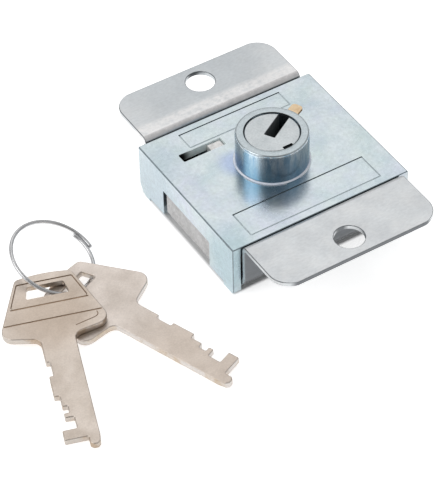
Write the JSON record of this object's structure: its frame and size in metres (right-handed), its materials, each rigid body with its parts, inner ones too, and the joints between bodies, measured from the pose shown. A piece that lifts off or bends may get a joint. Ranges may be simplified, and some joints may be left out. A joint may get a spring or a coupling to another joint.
{
  "type": "garage door lock",
  "caption": "Boxed surface-fixed lever lock with two drilled ears, a round keyed barrel, a side bolt, and flat keys on a wire ring.",
  "frame": {"origin": "on the barrel's axis, in the plane of the ears' front faces, midway between the two fixing holes", "axes": "+Z out of the lock's face along the barrel's axis; -X is the way that the bolt leaves; +Y to the far ear"},
  "size_m": [0.1152, 0.0918, 0.0257],
  "materials": {
    "zinc_plated_cover": "bright zinc plating with a bluish tint",
    "zinc_plated_frame": "satin zinc plating",
    "barrel_steel": "turned, zinc plated",
    "plug_steel": "satin",
    "bolt_steel": "satin",
    "brass": "satin",
    "lever_steel": "zinc plated with a blue-green tint",
    "mechanism_steel": "satin",
    "spring_steel": "satin",
    "nickel_key": "nickel plated, worn satin",
    "ring_wire": "bright"
  },
  "bodies": {
    "case": {"front_cover": "zinc_plated_cover", "mounting_frame": "zinc_plated_frame", "cover_pillars": "mechanism_steel", "back_screws": "mechanism_steel", "barrel_boss": "barrel_steel", "locating_tab": "brass", "lever_post": "mechanism_steel", "lever_washers": "mechanism_steel", "spring_post": "mechanism_steel", "guide_posts": "mechanism_steel", "guide_washers": "mechanism_steel"},
    "plug_body": {"plug": "plug_steel", "driver": "mechanism_steel", "drive_pin": "mechanism_steel"},
    "bolt_body": {"bolt": "bolt_steel", "bolt_stump": "bolt_steel"},
    "lever_1_body": {"lever_1": "lever_steel"},
    "lever_spring_1_body": {"lever_spring_1": "spring_steel"},
    "lever_2_body": {"lever_2": "lever_steel"},
    "lever_spring_2_body": {"lever_spring_2": "spring_steel"},
    "lever_3_body": {"lever_3": "lever_steel"},
    "lever_spring_3_body": {"lever_spring_3": "spring_steel"},
    "lever_4_body": {"lever_4": "lever_steel"},
    "lever_spring_4_body": {"lever_spring_4": "spring_steel"},
    "lever_5_body": {"lever_5": "lever_steel"},
    "lever_spring_5_body": {"lever_spring_5": "spring_steel"},
    "ring_body": {"key_ring": "ring_wire"},
    "key_1_body": {"key_1": "nickel_key"},
    "key_2_body": {"key_2": "nickel_key"}
  },
  "joints": [
    {"name": "plug_turn", "type": "hinge", "parent": "case", "child": "plug_body", "pos_m": [0, 0, 0], "axis": [0, 0, 1], "range_deg": [0, 60]},
    {"name": "bolt_slide", "type": "slide", "parent": "case", "child": "bolt_body", "axis": [-1, 0, 0], "range_m": [0, 0.008]},
    {"name": "lever_1_lift", "type": "hinge", "parent": "case", "child": "lever_1_body", "pos_m": [0.018, 0.0125, 0], "axis": [0, 0, 1], "range_deg": [-6.51, 0]},
    {"name": "lever_spring_1_flex", "type": "hinge", "parent": "case", "child": "lever_spring_1_body", "pos_m": [0.0095, 0.019, 0], "axis": [0, 0, 1], "range_deg": [-10.32, 0]},
    {"name": "lever_2_lift", "type": "hinge", "parent": "case", "child": "lever_2_body", "pos_m": [0.018, 0.0125, 0], "axis": [0, 0, 1], "range_deg": [-6.06, 0]},
    {"name": "lever_spring_2_flex", "type": "hinge", "parent": "case", "child": "lever_spring_2_body", "pos_m": [0.0095, 0.019, 0], "axis": [0, 0, 1], "range_deg": [-9.6, 0]},
    {"name": "lever_3_lift", "type": "hinge", "parent": "case", "child": "lever_3_body", "pos_m": [0.018, 0.0125, 0], "axis": [0, 0, 1], "range_deg": [-6.36, 0]},
    {"name": "lever_spring_3_flex", "type": "hinge", "parent": "case", "child": "lever_spring_3_body", "pos_m": [0.0095, 0.019, 0], "axis": [0, 0, 1], "range_deg": [-10.07, 0]},
    {"name": "lever_4_lift", "type": "hinge", "parent": "case", "child": "lever_4_body", "pos_m": [0.018, 0.0125, 0], "axis": [0, 0, 1], "range_deg": [-5.75, 0]},
    {"name": "lever_spring_4_flex", "type": "hinge", "parent": "case", "child": "lever_spring_4_body", "pos_m": [0.0095, 0.019, 0], "axis": [0, 0, 1], "range_deg": [-9.11, 0]},
    {"name": "lever_5_lift", "type": "hinge", "parent": "case", "child": "lever_5_body", "pos_m": [0.018, 0.0125, 0], "axis": [0, 0, 1], "range_deg": [-6.21, 0]},
    {"name": "lever_spring_5_flex", "type": "hinge", "parent": "case", "child": "lever_spring_5_body", "pos_m": [0.0095, 0.019, 0], "axis": [0, 0, 1], "range_deg": [-9.84, 0]},
    {"name": "key_ring_lift", "type": "slide", "parent": "case", "child": "ring_body", "axis": [0, 0, 1], "range_m": [0, 0.04]},
    {"name": "key_1_swing", "type": "hinge", "parent": "ring_body", "child": "key_1_body", "pos_m": [-0.0669, -0.00056, -0.01306], "axis": [-0.0462, -0.045, 0.9979], "range_deg": [0, 12]},
    {"name": "key_2_swing", "type": "hinge", "parent": "ring_body", "child": "key_2_body", "pos_m": [-0.0616, -0.00155, -0.01503], "axis": [-0.0541, -0.032, 0.998], "range_deg": [-12, 0]}
  ],
  "couplings": [
    {"joint": "bolt_slide", "follows": "plug_turn", "m_per_rad": 0.0076394},
    {"joint": "lever_1_lift", "follows": "plug_turn", "ratio": -0.10823},
    {"joint": "lever_spring_1_flex", "follows": "plug_turn", "ratio": -0.17167},
    {"joint": "lever_2_lift", "follows": "plug_turn", "ratio": -0.10065},
    {"joint": "lever_spring_2_flex", "follows": "plug_turn", "ratio": -0.15965},
    {"joint": "lever_3_lift", "follows": "plug_turn", "ratio": -0.10563},
    {"joint": "lever_spring_3_flex", "follows": "plug_turn", "ratio": -0.16755},
    {"joint": "lever_4_lift", "follows": "plug_turn", "ratio": -0.09545},
    {"joint": "lever_spring_4_flex", "follows": "plug_turn", "ratio": -0.15142},
    {"joint": "lever_5_lift", "follows": "plug_turn", "ratio": -0.10313},
    {"joint": "lever_spring_5_flex", "follows": "plug_turn", "ratio": -0.1636}
  ]
}
